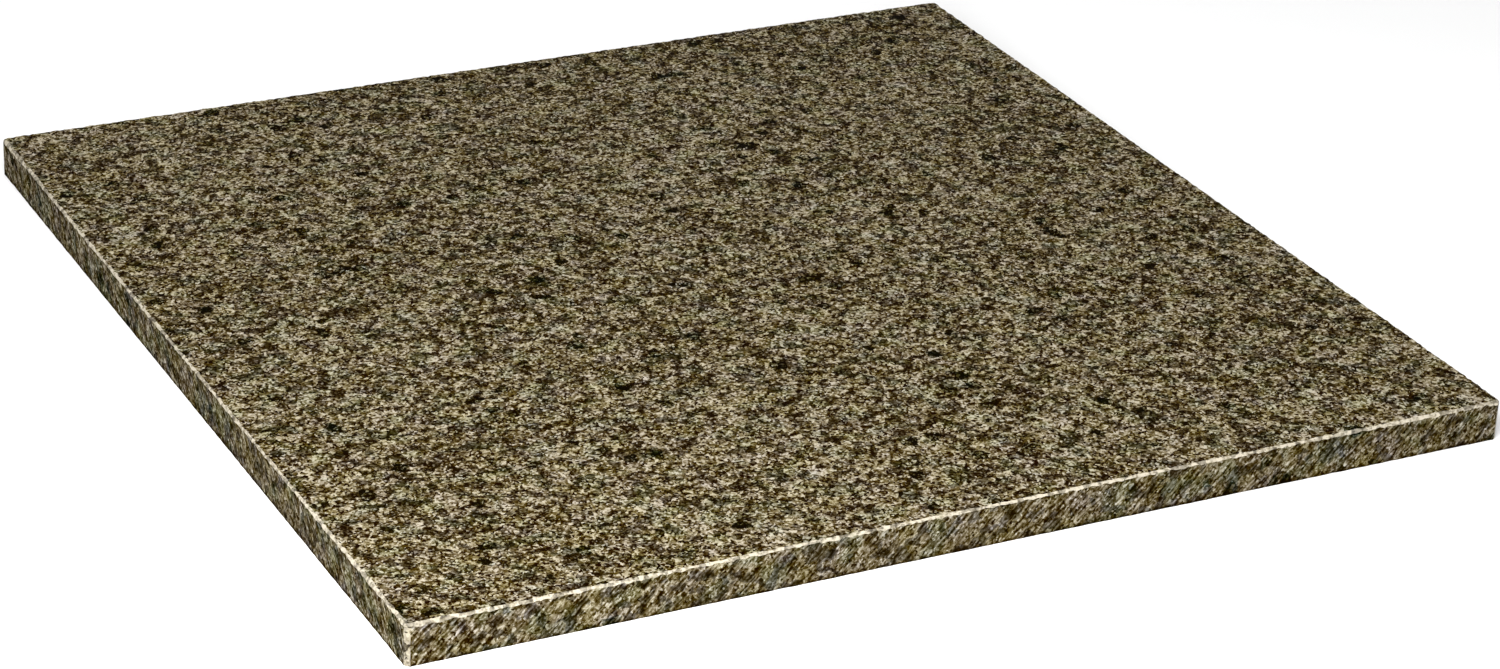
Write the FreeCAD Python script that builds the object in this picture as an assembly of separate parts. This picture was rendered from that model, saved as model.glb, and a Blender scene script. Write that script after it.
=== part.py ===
import FreeCAD, Part

import os

# Granite slab for stamping and tooling leather: one square piece of stone, a flat working face on top.
# Millimetres. +Z is up, and the origin is the middle of the underside, where the slab rests.

# Driving dimensions
SIDE = 304.8  # 12 in square
THICKNESS = 11.1  # 7/16 in, between the 10 mm and 12 mm that thin slabs are sawn to
TOP_BEVEL = 0.6  # ground at 45 degrees along the four edges of the working face
CORNER_BEVEL = 1.2  # ground down the four upright corners
BOTTOM_BEVEL = 0.3  # only takes the sharpness off the underside's edges

FLAT_TOLERANCE = 1e-6  # how near an edge must be to a height to count as lying at it


def edges_at_height(solid, height):
    """The edges of the solid that lie flat at this height."""
    found = []
    for edge in solid.Edges:
        low_enough = edge.BoundBox.ZMax < height + FLAT_TOLERANCE
        high_enough = edge.BoundBox.ZMin > height - FLAT_TOLERANCE
        if low_enough and high_enough:
            found.append(edge)
    return found


def upright_edges(solid):
    """The edges of the solid that run its whole thickness."""
    return [edge for edge in solid.Edges if edge.BoundBox.ZLength > THICKNESS - FLAT_TOLERANCE]


def granite_slab():
    """A square plate, bevelled at its corners first, so that the face bevels run round them."""
    lowest_corner = FreeCAD.Vector(-SIDE / 2, -SIDE / 2, 0)
    slab = Part.makeBox(SIDE, SIDE, THICKNESS, lowest_corner)
    slab = slab.makeChamfer(CORNER_BEVEL, upright_edges(slab))
    slab = slab.makeChamfer(TOP_BEVEL, edges_at_height(slab, THICKNESS))
    return slab.makeChamfer(BOTTOM_BEVEL, edges_at_height(slab, 0))


os.makedirs("parts", exist_ok=True)
granite_slab().exportStep("parts/granite_slab.step")
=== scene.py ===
import math
import random

import bmesh
import bpy
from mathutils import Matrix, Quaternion, Vector, noise
from mathutils.geometry import delaunay_2d_cdt


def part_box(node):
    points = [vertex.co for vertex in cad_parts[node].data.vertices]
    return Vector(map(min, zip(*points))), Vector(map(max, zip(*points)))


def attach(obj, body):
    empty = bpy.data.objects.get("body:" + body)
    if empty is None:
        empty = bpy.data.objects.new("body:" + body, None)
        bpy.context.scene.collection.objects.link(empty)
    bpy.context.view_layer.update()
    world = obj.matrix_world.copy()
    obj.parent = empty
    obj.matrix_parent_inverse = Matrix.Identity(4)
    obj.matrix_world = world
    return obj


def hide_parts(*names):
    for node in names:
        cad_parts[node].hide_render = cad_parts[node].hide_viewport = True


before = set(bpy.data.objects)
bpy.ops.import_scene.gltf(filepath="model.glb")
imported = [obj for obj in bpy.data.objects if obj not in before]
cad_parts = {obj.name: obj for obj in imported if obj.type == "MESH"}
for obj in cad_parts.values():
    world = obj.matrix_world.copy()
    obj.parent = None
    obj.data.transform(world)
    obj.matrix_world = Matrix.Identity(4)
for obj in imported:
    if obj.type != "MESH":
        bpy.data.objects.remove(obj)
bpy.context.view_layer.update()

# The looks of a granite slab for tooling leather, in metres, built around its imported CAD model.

MM = 0.001

# The slab, from the frame
NODE = "granite_slab"
slab_low, slab_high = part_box(NODE)
HALF_SIDE = (slab_high.x - slab_low.x) / 2
WAY_ROUND = 8 * HALF_SIDE
THICKNESS = slab_high.z - slab_low.z
MIDDLE = (slab_low + slab_high) / 2

# Its edges
TOP_BEVEL = 0.57 * MM
CORNER_WIDENING = 0.45  # how much wider the top bevel is at the slab's corners, as a share of its width
WIDENING_REACH = 30 * MM
CORNER_BEVEL = 1.2 * MM
BOTTOM_BEVEL = 0.25 * MM
BEVEL_KNEE = 0.36  # how far from its outer edge a bevel bends, as a share of its width
BEVEL_WAVER = 0.5  # how much a bevel's width changes along it, as a share of that width
CORNER_BULGE = 0.12  # how far a corner bevel stands proud of a flat cut, as a share of its width
CHIPS = 34
CHIP_SEED = 11
CHIP_LENGTH = (0.8 * MM, 2.2 * MM)
CHIP_DEPTH = (0.1 * MM, 0.5 * MM)
CHIP_DROP = 0.5  # how far a chip goes down the side, as a share of how far it goes in
SAW_RELIEF = 0.07 * MM

# How these change along the slab: (wavelength, seed)
CUT_IN_WAVER = (1.3 * MM, 3)
CUT_DOWN_WAVER = (1.5 * MM, 8)
LOWER_CUT_WAVER = (2.1 * MM, 5)
SAW_WAVER = (3.5 * MM, 1)
WAVER_GAIN = 1.6  # brings the noise up to about -1 to 1

# Its mesh
COLUMN_STEP = 0.6 * MM
SIDE_TOP = 2  # the rows above a side belong to the top bevel
SIDE_ROWS = 8
FACE_GROWTH = 1.45  # each ring of a face's triangles is this much coarser than the one outside it
FACE_PITCH = 8 * MM
TOP_MARGIN = 4 * TOP_BEVEL  # how far inside the slab's outline a face's own points start
BOTTOM_MARGIN = 3 * BOTTOM_BEVEL
SAME_PLACE = 1e-7  # points nearer than this are one

POLISHED, GROUND, CORNER, SAWN = range(4)  # the order of the slab's materials


def waver(point, wavelength, seed):
    """Smooth noise from about -1 to 1, the same on every run."""
    return WAVER_GAIN * noise.noise(point / wavelength + Vector((seed, -seed, 0.5 * seed)))


def make_chips():
    """Small chips knocked out of the top edge: how far round the slab, half the length, and the depth."""
    source = random.Random(CHIP_SEED)
    return [
        (source.uniform(0, WAY_ROUND), source.uniform(*CHIP_LENGTH) / 2, source.uniform(*CHIP_DEPTH))
        for _ in range(CHIPS)
    ]


def chip_depth(chips, along):
    """How much wider the bevel is at this distance round the slab, where a chip has gone."""
    deepest = 0
    for centre, half_length, depth in chips:
        reach = 1 - ((along - centre) / half_length) ** 2
        deepest = max(deepest, depth * reach)
    return deepest


def make_columns():
    """Points round the outline, anticlockwise from above: (point, outward direction, on a corner bevel)."""
    straight = HALF_SIDE - CORNER_BEVEL
    steps = round(2 * straight / COLUMN_STEP)
    columns = []
    for side in range(4):
        turn = Quaternion((0, 0, 1), side * math.pi / 2)
        outward = turn @ Vector((0, -1, 0))
        for step in range(steps + 1):
            along = straight * (2 * step / steps - 1)
            columns.append((turn @ Vector((along, -HALF_SIDE, 0)), outward, False))
        diagonal = turn @ Vector((1, -1, 0)).normalized()
        cut = HALF_SIDE - CORNER_BEVEL / 2
        corner = turn @ Vector((cut, -cut, 0)) + diagonal * CORNER_BEVEL * CORNER_BULGE
        columns.append((corner, diagonal, True))
    return columns


def section(point, along, chips):
    """(inset, height) down one upright cut through the slab's edge, from the top face to the underside."""
    chip = chip_depth(chips, along)
    from_corner = HALF_SIDE - min(abs(point.x), abs(point.y))
    width = TOP_BEVEL * (1 + CORNER_WIDENING * math.exp(-from_corner / WIDENING_REACH))
    cut_in = width * (1 + BEVEL_WAVER * waver(point, *CUT_IN_WAVER)) + chip
    cut_down = width * (1 + BEVEL_WAVER * waver(point, *CUT_DOWN_WAVER)) + chip * CHIP_DROP
    lower_cut = BOTTOM_BEVEL * (1 + BEVEL_WAVER * waver(point, *LOWER_CUT_WAVER))
    rows = [
        (cut_in, THICKNESS),
        (cut_in * BEVEL_KNEE, THICKNESS - cut_down * BEVEL_KNEE),
    ]
    for row in range(SIDE_ROWS + 1):
        height = THICKNESS - cut_down + (lower_cut + cut_down - THICKNESS) * row / SIDE_ROWS
        relief = 0.5 + 0.5 * waver(Vector((point.x, point.y, height)), *SAW_WAVER)
        rows.append((SAW_RELIEF * min(max(relief, 0), 1), height))
    rows.append((lower_cut * BEVEL_KNEE, lower_cut * BEVEL_KNEE))
    rows.append((lower_cut, 0))
    return rows


def face_points(margin):
    """Points inside a face, on squares that get coarser towards its middle."""
    points = []
    pitch = COLUMN_STEP
    reach = HALF_SIDE - margin
    while reach > pitch:
        steps = max(1, round(2 * reach / pitch))
        for side in range(4):
            turn = Quaternion((0, 0, 1), side * math.pi / 2)
            for step in range(steps):
                point = turn @ Vector((reach * (2 * step / steps - 1), -reach, 0))
                points.append(point.to_2d())
        reach -= pitch
        pitch = min(pitch * FACE_GROWTH, FACE_PITCH)
    return points


def fill_face(mesh, ring, height, margin, finish):
    """Closes a ring of vertices with a flat face of graded triangles."""
    outline = [vertex.co.to_2d() for vertex in ring]
    edges = [(i, (i + 1) % len(ring)) for i in range(len(ring))]
    only_inside = 1  # delaunay_2d_cdt's way to keep only the triangles inside the outline
    places, _, triangles, sources, _, _ = delaunay_2d_cdt(
        outline + face_points(margin), edges, [], only_inside, SAME_PLACE
    )
    vertices = []
    for place, source in zip(places, sources):
        known = [i for i in source if i < len(ring)]
        vertices.append(ring[known[0]] if known else mesh.verts.new((place.x, place.y, height)))
    for triangle in triangles:
        mesh.faces.new([vertices[i] for i in triangle]).material_index = finish


def new_object(name, mesh):
    """An object made of this mesh, which is used up."""
    data = bpy.data.meshes.new(name)
    mesh.to_mesh(data)
    mesh.free()
    made = bpy.data.objects.new(name, data)
    bpy.context.scene.collection.objects.link(made)
    return made


def build_slab():
    """The stone: its edge, one upright column of vertices after another, and the two faces that close it."""
    mesh = bmesh.new()
    chips = make_chips()
    columns = make_columns()
    grid = []
    for index, (point, outward, _) in enumerate(columns):
        along = WAY_ROUND * index / len(columns)
        grid.append([
            mesh.verts.new(point - outward * inset + Vector((0, 0, height)))
            for inset, height in section(point, along, chips)
        ])
    for index, column in enumerate(grid):
        after = (index + 1) % len(grid)
        on_corner = columns[index][2] or columns[after][2]
        for row in range(len(column) - 1):
            face = mesh.faces.new((column[row], column[row + 1], grid[after][row + 1], grid[after][row]))
            if row < SIDE_TOP:
                face.material_index = GROUND
            else:
                face.material_index = CORNER if on_corner else SAWN
    fill_face(mesh, [column[0] for column in grid], THICKNESS, TOP_MARGIN, POLISHED)
    fill_face(mesh, [column[-1] for column in grid], 0, BOTTOM_MARGIN, SAWN)
    bmesh.ops.recalc_face_normals(mesh, faces=mesh.faces)
    for face in mesh.faces:
        face.smooth = True
    for index, column in enumerate(grid):
        following = grid[(index + 1) % len(grid)]
        for sharp_row in (0, SIDE_TOP, SIDE_TOP + SIDE_ROWS, len(column) - 1):
            mesh.edges.get((column[sharp_row], following[sharp_row])).smooth = False
    return new_object("slab_stone", mesh)


# Nodes

def add(tree, kind, inputs, **settings):
    """A new node. Each input is linked if it's a socket, and otherwise set to a plain value."""
    node = tree.nodes.new(kind)
    for name, value in settings.items():
        setattr(node, name, value)
    for name, value in inputs.items():
        if isinstance(value, bpy.types.NodeSocket):
            tree.links.new(value, node.inputs[name])
        else:
            node.inputs[name].default_value = value
    return node


def maths(tree, operation, first, second=0.0, third=0.0):
    inputs = {0: first, 1: second, 2: third}
    return add(tree, "ShaderNodeMath", inputs, operation=operation).outputs[0]


def band(tree, value, low, high, to_low=0.0, to_high=1.0):
    """value from low to high, turned smoothly into to_low to to_high."""
    limits = {"Value": value, "From Min": low, "From Max": high, "To Min": to_low, "To Max": to_high}
    return add(tree, "ShaderNodeMapRange", limits, interpolation_type="SMOOTHSTEP").outputs[0]


def mix(tree, share, first, second):
    """A colour mixed from two. The numbers are the node's sockets for colours."""
    inputs = {0: share, 6: first, 7: second}
    return add(tree, "ShaderNodeMix", inputs, data_type="RGBA").outputs[2]


def vector_maths(tree, operation, first, second):
    return add(tree, "ShaderNodeVectorMath", {0: first, 1: second}, operation=operation).outputs[0]


def scaled(tree, vector, factor):
    return add(tree, "ShaderNodeVectorMath", {0: vector, "Scale": factor}, operation="SCALE").outputs[0]


def soft_noise(tree, position, size, detail=2, output="Fac"):
    """Noise whose blobs are about size millimetres across."""
    inputs = {"Vector": position, "Scale": 1 / size, "Detail": detail}
    return add(tree, "ShaderNodeTexNoise", inputs).outputs[output]


def cells(tree, position, size):
    """Voronoi cells about size millimetres across."""
    return add(tree, "ShaderNodeTexVoronoi", {"Vector": position, "Scale": 1 / size})


def chance(tree, grains):
    """A random number for each cell, from -1.5 to 1.5 and mostly near 0."""
    inputs = {0: grains.outputs["Color"], 1: (1, 1, 1)}
    total = add(tree, "ShaderNodeVectorMath", inputs, operation="DOT_PRODUCT").outputs["Value"]
    mean_total = 3 * 0.5
    return maths(tree, "SUBTRACT", total, mean_total)


def centred(tree, value):
    """value, which goes from 0 to 1, moved to go from -0.5 to 0.5."""
    return maths(tree, "SUBTRACT", value, 0.5)


# The stone. Its sizes are in millimetres.
# Its tones go from 0, black, to 1, white, in steps that look even to the eye.
EYE_GAMMA = 2.2  # turns such a tone into an amount of light
TONES = (0.045, 0.62)  # its darkest and lightest
HUE = (0.060, 0.007, -0.114)  # red, green and blue above or below the tone
PALING = (0.985, 1.015, 1.085)  # how fast each of them rises with the tone: the pale minerals are greyer
GREENISH = (-0.016, 0.002, 0.003)  # what the greener patches add
GREENISH_LEVEL = (0.48, 0.66)
YELLOWISH = (0.0, 0.0, -0.115)  # what the yellower patches add and the greyer ones take away
PATCH_SIZE = 7.0
PLAIN_LEVEL = 0.463  # where stone outside the dark grains lies, from the darkest, 0, to the lightest, 1
GRAINS = ((2.5, 0.07), (1.25, 0.24), (0.6, 0.46))  # angular grains of one tone each: (size, change)
MOTTLES = ((0.4, 0.40), (8, 0.10), (28, 0.22))  # soft changes: (size, change)
BEND_SIZE = 1.6  # the grains' straight sides are bent in waves of this size
BEND_REACH = 0.9
DARK_GRAIN = 1.9
DARK_PATCH = 3.9  # the dark minerals gather in clusters of about this size
DARK_SCATTER = 0.22  # how many of their grains stand alone instead
DARK_LEVEL = (0.55, 0.60)
DARK_DROP = 0.21
DARK_CALM = 0.35  # how much evener they are inside than the pale stone
DARK_HUE = (-0.012, 0.0, 0.034)  # what the dark grains add
BLACK_GRAIN = 3.4
BLACK_LEVEL = (0.94, 1.0)  # only a few of these grains are black
BLACK_DROP = 0.28
BLACK_HUE = (-0.025, -0.004, 0.012)  # what the black grains add
PATTERN_START = (317.3, 541.9, 127.7)  # keeps the patterns' own axes and origins off the slab

# What its finishes add, and the painted shade at its foot
SAW_LENGTH = 5.5
SAW_WIDTH = 1.05
SAW_SHADE = 0.03  # how much the marks darken the stone as a whole
FOOT_SHADE_HEIGHT = (0.2, 1.5)  # painted shade where the slab meets the floor: deepest at the sides' foot and gone this high up
FOOT_SHADE_PATCH = 2.5
FOOT_SHADE_WAVER = 1.6
FOOT_SHADE_DROP = 0.15
CREAM = (0.455, 0.41, 0.325, 1)  # stone that grinding has bruised pale
CREAM_FLECK = 1.2
CREAM_LEVEL = (0.34, 0.58)
CREAM_LEAST = 0.3  # how pale it is between the flecks, as a share of how pale it is in them
CREAM_ON_DARK = 0.45  # how much less the dark grains go pale
GRIT = 0.42
DARK_SINKS = 0.3  # how far the dark grains lie below the pale ones, as a share of the grit's height


def saw_marks(tree, place):
    """Fine slanting lines that a saw leaves down the slab's sides."""
    parts = add(tree, "ShaderNodeSeparateXYZ", {0: place}).outputs
    round_slab = maths(tree, "ADD", parts[0], parts[1])
    slant = maths(tree, "SUBTRACT", round_slab, parts[2])
    across = maths(tree, "MULTIPLY", slant, SAW_LENGTH / SAW_WIDTH)
    lengthwise = maths(tree, "ADD", round_slab, parts[2])
    stretched = add(tree, "ShaderNodeCombineXYZ", {0: across, 1: lengthwise}).outputs[0]
    lines = soft_noise(tree, stretched, SAW_LENGTH, detail=3)
    return maths(tree, "SUBTRACT", lines, 0.5 + SAW_SHADE)


def foot_shade(tree, place):
    """Painted shade where the slab meets the floor: how much darker the stone is made all over its
    underside, and a little way up its sides.
    """
    height = add(tree, "ShaderNodeSeparateXYZ", {0: place}).outputs[2]
    height = maths(tree, "SUBTRACT", height, PATTERN_START[2])
    uneven = centred(tree, soft_noise(tree, place, FOOT_SHADE_PATCH))
    height = maths(tree, "MULTIPLY_ADD", uneven, FOOT_SHADE_WAVER, height)
    return band(tree, height, *FOOT_SHADE_HEIGHT, to_low=1.0, to_high=0.0)


def stone_colour(tree, level, dark, black, bent, tint):
    """The stone's colour, from how light it is and which of its minerals it is."""
    tone = band(tree, level, 0.0, 1.0, *TONES)
    colour = vector_maths(tree, "MULTIPLY", tone, PALING)
    colour = vector_maths(tree, "ADD", colour, Vector(HUE) * tint)
    green = band(tree, soft_noise(tree, bent, PATCH_SIZE, detail=1), *GREENISH_LEVEL)
    elsewhere = vector_maths(tree, "ADD", bent, PATTERN_START)
    yellow = centred(tree, soft_noise(tree, elsewhere, PATCH_SIZE, detail=1))
    for change, share in ((GREENISH, green), (YELLOWISH, yellow), (DARK_HUE, dark), (BLACK_HUE, black)):
        colour = vector_maths(tree, "ADD", colour, scaled(tree, change, share))
    colour = vector_maths(tree, "MAXIMUM", colour, (0, 0, 0))
    return add(tree, "ShaderNodeGamma", {"Color": colour, "Gamma": EYE_GAMMA}).outputs[0]


def granite(tree, contrast, tint, sawn):
    """One solid pattern through the whole slab: its colour, how much of it is dark grain, and the place."""
    place = add(tree, "ShaderNodeTexCoord", {}).outputs["Object"]
    place = vector_maths(tree, "ADD", scaled(tree, place, 1 / MM), PATTERN_START)
    bend = soft_noise(tree, place, BEND_SIZE, output="Color")
    bend = vector_maths(tree, "SUBTRACT", bend, (0.5, 0.5, 0.5))
    bent = vector_maths(tree, "ADD", place, scaled(tree, bend, BEND_REACH))

    texture = 0.0
    for size, change in GRAINS:
        grain = chance(tree, cells(tree, bent, size))
        texture = maths(tree, "MULTIPLY_ADD", grain, change * contrast, texture)
    for size, change in MOTTLES:
        mottle = centred(tree, soft_noise(tree, place, size))
        texture = maths(tree, "MULTIPLY_ADD", mottle, change * contrast, texture)

    grains = cells(tree, bent, DARK_GRAIN)
    cluster = soft_noise(tree, grains.outputs["Position"], DARK_PATCH, detail=1)
    darkness = maths(tree, "MULTIPLY_ADD", chance(tree, grains), DARK_SCATTER, cluster)
    dark = band(tree, darkness, *DARK_LEVEL)
    calm = maths(tree, "MULTIPLY_ADD", dark, -DARK_CALM, 1.0)
    level = maths(tree, "MULTIPLY_ADD", texture, calm, PLAIN_LEVEL)
    level = maths(tree, "MULTIPLY_ADD", dark, -DARK_DROP * contrast, level)
    if sawn:
        level = maths(tree, "MULTIPLY_ADD", saw_marks(tree, place), sawn, level)
        # painted shade: the sawn stone is darkened all over its underside and towards the sides' foot, where
        # the slab meets the floor
        level = maths(tree, "MULTIPLY_ADD", foot_shade(tree, place), -FOOT_SHADE_DROP, level)
    black = band(tree, chance(tree, cells(tree, bent, BLACK_GRAIN)), *BLACK_LEVEL)
    level = maths(tree, "MULTIPLY_ADD", black, -BLACK_DROP * contrast, level)
    return stone_colour(tree, level, dark, black, bent, tint), dark, place


def bruised(tree, colour, dark, place, cream):
    """The stone's colour where grinding has left it pale, most of all in the pale minerals."""
    fleck = soft_noise(tree, place, CREAM_FLECK, detail=3)
    fleck = band(tree, fleck, *CREAM_LEVEL, to_low=CREAM_LEAST, to_high=1.0)
    share = maths(tree, "MULTIPLY_ADD", dark, -CREAM_ON_DARK, cream)
    return mix(tree, maths(tree, "MULTIPLY", fleck, share), colour, CREAM)


def stone_material(name, roughness, shine, bump, contrast, tint, cream=0.0, sawn=0.0):
    """Granite with one of its finishes.

    roughness is the pale minerals' and then the dark ones'. bump is the grit's height. contrast and
    tint scale the stone's tones and its hue. cream is how pale grinding has left it, and sawn is how
    strongly the saw marks show.
    """
    material = bpy.data.materials.new(name)
    material.use_nodes = True
    tree = material.node_tree
    shader = tree.nodes["Principled BSDF"]
    colour, dark, place = granite(tree, contrast, tint, sawn)
    if cream:
        colour = bruised(tree, colour, dark, place, cream)
    tree.links.new(colour, shader.inputs["Base Color"])
    rough = maths(tree, "MULTIPLY_ADD", dark, roughness[1] - roughness[0], roughness[0])
    tree.links.new(rough, shader.inputs["Roughness"])
    shader.inputs["Specular IOR Level"].default_value = shine
    relief = maths(tree, "MULTIPLY_ADD", dark, -DARK_SINKS, soft_noise(tree, place, GRIT))
    inputs = {"Height": relief, "Distance": bump, "Strength": 1.0}
    tree.links.new(add(tree, "ShaderNodeBump", inputs).outputs["Normal"], shader.inputs["Normal"])
    return material


POLISHING = {"roughness": (0.16, 0.24), "shine": 0.02, "bump": 0.003 * MM, "contrast": 1.0, "tint": 1.0}
GRINDING = {"roughness": (0.8, 0.9), "shine": 0.02, "bump": 0.1 * MM, "contrast": 0.8, "tint": 0.9}
SAWING = {"roughness": (0.85, 0.95), "shine": 0.0, "bump": 0.06 * MM, "contrast": 0.52, "tint": 0.82}
FINISHES = {
    POLISHED: stone_material("granite_polished", **POLISHING),
    GROUND: stone_material("granite_ground", **GRINDING, cream=0.93),
    CORNER: stone_material("granite_corner", **GRINDING, cream=0.52),
    SAWN: stone_material("granite_sawn", **SAWING, sawn=1.15),
}

slab = build_slab()
for finish in sorted(FINISHES):
    slab.data.materials.append(FINISHES[finish])
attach(slab, "root")
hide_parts(NODE)


# The floor
FLOOR_RADIUS = 3.6
FLOOR_RIM = 0.9  # the radius that its rim curves up at
FLOOR_MIDDLE = 0.6
FLOOR_SPOKES = 96
FLOOR_RIM_STEPS = 12
FLOOR_COLOUR = (0.92, 0.92, 0.92, 1)
FLOOR_ROUGHNESS = 0.9
FLOOR_SHINE = 0.1


def floor_material():
    material = bpy.data.materials.new("pale_floor")
    material.use_nodes = True
    shader = material.node_tree.nodes["Principled BSDF"]
    shader.inputs["Base Color"].default_value = FLOOR_COLOUR
    shader.inputs["Roughness"].default_value = FLOOR_ROUGHNESS
    shader.inputs["Specular IOR Level"].default_value = FLOOR_SHINE
    return material


def build_floor():
    """A round pale floor that curves up at its rim, so that no horizon shows from low down."""
    flat_radius = FLOOR_RADIUS - FLOOR_RIM
    profile = [(FLOOR_MIDDLE, 0.0), (flat_radius, 0.0)]
    for step in range(1, FLOOR_RIM_STEPS + 1):
        angle = step / FLOOR_RIM_STEPS * math.pi / 2
        profile.append((flat_radius + FLOOR_RIM * math.sin(angle), FLOOR_RIM * (1 - math.cos(angle))))
    mesh = bmesh.new()
    rings = []
    for radius, height in profile:
        ring = []
        for spoke in range(FLOOR_SPOKES):
            angle = 2 * math.pi * spoke / FLOOR_SPOKES
            ring.append(mesh.verts.new((radius * math.cos(angle), radius * math.sin(angle), height)))
        rings.append(ring)
    mesh.faces.new(rings[0])
    for inner, outer in zip(rings, rings[1:]):
        for spoke in range(FLOOR_SPOKES):
            after = (spoke + 1) % FLOOR_SPOKES
            mesh.faces.new((inner[spoke], outer[spoke], outer[after], inner[after]))
    for face in mesh.faces:
        face.smooth = True
    floor = new_object("floor", mesh)
    floor.location.z = slab_low.z
    floor.data.materials.append(floor_material())
    return floor


build_floor()


# Light. Angles are in degrees, and powers in watts.
KEY_LIGHT = {"azimuth": -36, "elevation": 34, "distance": 0.68, "power": 28}
KEY_SIZE = 0.22
OVERHEAD_LIGHT = {"azimuth": -20, "elevation": 78, "distance": 3.4, "power": 155}
OVERHEAD_SIZE = 6.4
WORLD_GLOW = 0.03


def direction(azimuth, elevation):
    """From the slab towards azimuth, 0 in front of it and positive to its right."""
    turn = math.radians(azimuth)
    rise = math.radians(elevation)
    return Vector((
        math.sin(turn) * math.cos(rise),
        -math.cos(turn) * math.cos(rise),
        math.sin(rise),
    ))


def add_light(name, kind, azimuth, elevation, distance, power, **size):
    """A soft light that shines on the slab. size holds the settings that make its kind of light large."""
    data = bpy.data.lights.new(name, kind)
    data.energy = power
    for setting, value in size.items():
        setattr(data, setting, value)
    light = bpy.data.objects.new(name, data)
    towards = direction(azimuth, elevation)
    light.location = MIDDLE + towards * distance
    light.rotation_mode = "QUATERNION"
    light.rotation_quaternion = towards.to_track_quat("Z", "Y")
    light.visible_camera = False
    bpy.context.scene.collection.objects.link(light)


add_light("key", "POINT", **KEY_LIGHT, shadow_soft_size=KEY_SIZE)
add_light("overhead", "AREA", **OVERHEAD_LIGHT, shape="DISK", size=OVERHEAD_SIZE)

world = bpy.data.worlds.new("studio")
world.use_nodes = True
background = world.node_tree.nodes["Background"]
background.inputs["Color"].default_value = (1, 1, 1, 1)
background.inputs["Strength"].default_value = WORLD_GLOW
bpy.context.scene.world = world
bpy.context.scene.view_settings.view_transform = "Standard"


# The camera
VIEW_AZIMUTH = -27.54
VIEW_ELEVATION = 25.59
VIEW_ROLL = 2.45
# From the slab's middle: to the camera's right, up and back
VIEW_OFFSET = Vector((10.2, -14.6, 1135.2)) * MM
LENS_MM = 99.87

camera_data = bpy.data.cameras.new("camera")
camera_data.lens = LENS_MM
camera = bpy.data.objects.new("camera", camera_data)
bpy.context.scene.collection.objects.link(camera)
camera.rotation_mode = "QUATERNION"
upright_view = direction(VIEW_AZIMUTH, VIEW_ELEVATION).to_track_quat("Z", "Y")
camera.rotation_quaternion = upright_view @ Quaternion((0, 0, 1), math.radians(VIEW_ROLL))
camera.location = MIDDLE + camera.rotation_quaternion @ VIEW_OFFSET
bpy.context.scene.camera = camera
